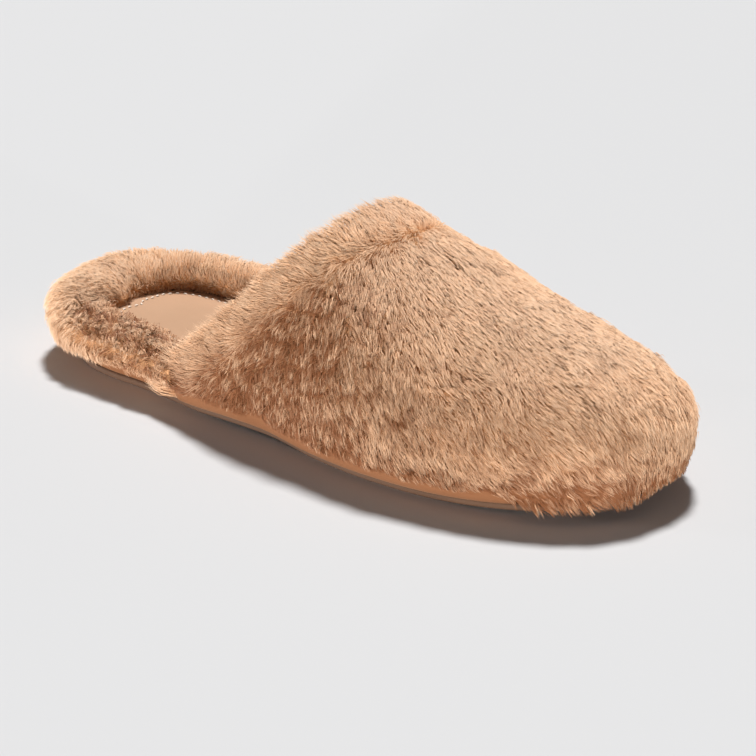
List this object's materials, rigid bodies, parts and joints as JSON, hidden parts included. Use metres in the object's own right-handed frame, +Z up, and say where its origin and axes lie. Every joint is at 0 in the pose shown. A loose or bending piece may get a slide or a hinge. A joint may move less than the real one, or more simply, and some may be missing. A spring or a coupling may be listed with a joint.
{
  "type": "scuff slipper",
  "caption": "Right-foot closed-toe, open-back house slipper in combed faux fur, with a fur roll around the heel and a smooth insole.",
  "frame": {"origin": "on the ground under the centre of the slipper's outer box", "axes": "+X from the heel towards the toe, +Y towards the inner side of the right foot, +Z up"},
  "size_m": [0.2726, 0.1136, 0.0848],
  "materials": {
    "outsole_rubber": "matte brown rubber with a fine tread",
    "sole_suede": "tan suede-like cloth wrapped over foam",
    "insole_microsuede": "smooth tan microsuede with a row of small stitches near its edge",
    "rim_fur": "tan faux fur, short and plush",
    "upper_fur": "tan faux fur, combed from a crown at the collar towards the toe and hem"
  },
  "bodies": {
    "root": {"outsole": "outsole_rubber", "midsole": "sole_suede", "insole": "insole_microsuede", "heel_rim": "rim_fur", "upper": "upper_fur"}
  },
  "joints": []
}
